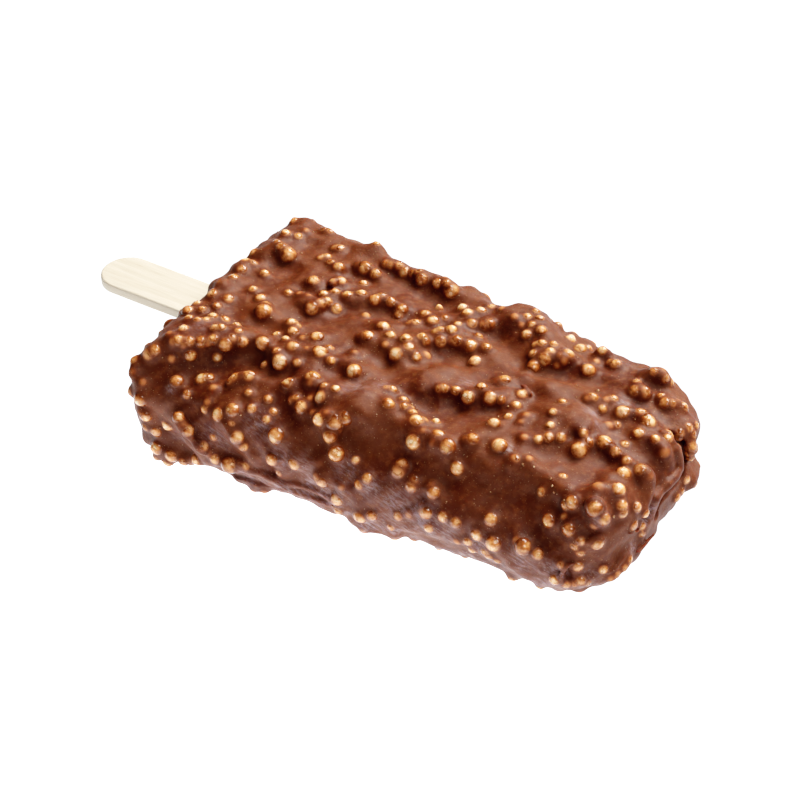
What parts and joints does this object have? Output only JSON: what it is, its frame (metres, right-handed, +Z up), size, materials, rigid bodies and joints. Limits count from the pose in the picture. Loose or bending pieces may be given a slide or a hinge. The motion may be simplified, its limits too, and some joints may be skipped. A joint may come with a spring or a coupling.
{
  "type": "ice cream bar",
  "caption": "Tapered ice cream bar in an uneven milk chocolate coating studded with puffed cereal, on a flat wooden stick, lying on its back face.",
  "frame": {"origin": "middle of the underside of the whole part, bar and stick together", "axes": "+X along the bar from the stick to the tip, +Y across it, +Z up from the face it lies on"},
  "size_m": [0.1178, 0.0548, 0.024],
  "materials": {
    "chocolate_coating": "set milk chocolate, soft sheen, with puffed cereal balls under a thin film",
    "puffed_cereal": "golden puffed cereal balls in a thin glossy chocolate film",
    "stick_wood": "bare pale birch, fine straight grain"
  },
  "bodies": {
    "root": {"coated_bar": "chocolate_coating", "stick": "stick_wood"}
  },
  "joints": []
}
